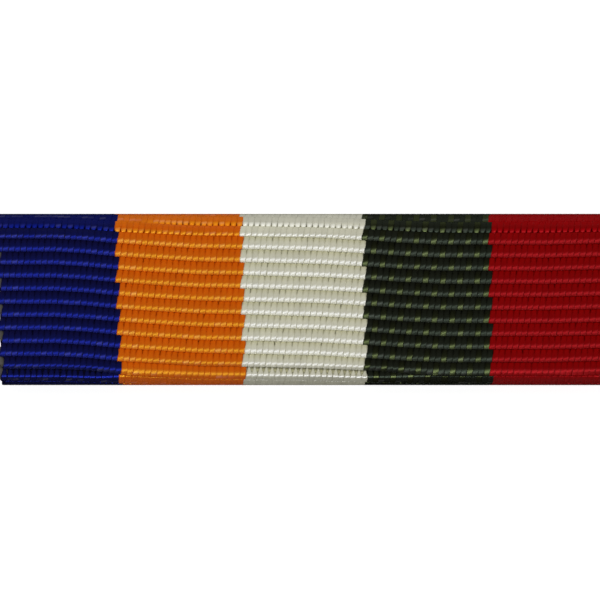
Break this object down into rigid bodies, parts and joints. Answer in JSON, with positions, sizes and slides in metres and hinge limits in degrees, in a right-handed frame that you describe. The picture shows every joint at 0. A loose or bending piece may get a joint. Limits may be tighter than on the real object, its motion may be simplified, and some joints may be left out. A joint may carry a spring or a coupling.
{
  "type": "ribbon bar",
  "caption": "Slim bar of ribbed striped ribbon wound round a thin metal channel, which slides on to a rail and shows a medal's colours.",
  "frame": {"origin": "middle of the bar's back, on the surface that it lies on", "axes": "+Z out of the front of the bar, +X along the bar from the navy stripe to the red one, +Y up the bar as worn"},
  "size_m": [0.035, 0.0098, 0.0035],
  "materials": {
    "ribbon": "ribbed woven rayon with a soft sheen",
    "backing_plate": "rolled sheet, satin"
  },
  "bodies": {
    "root": {"ribbon": "ribbon", "backing_plate": "backing_plate"}
  },
  "joints": []
}
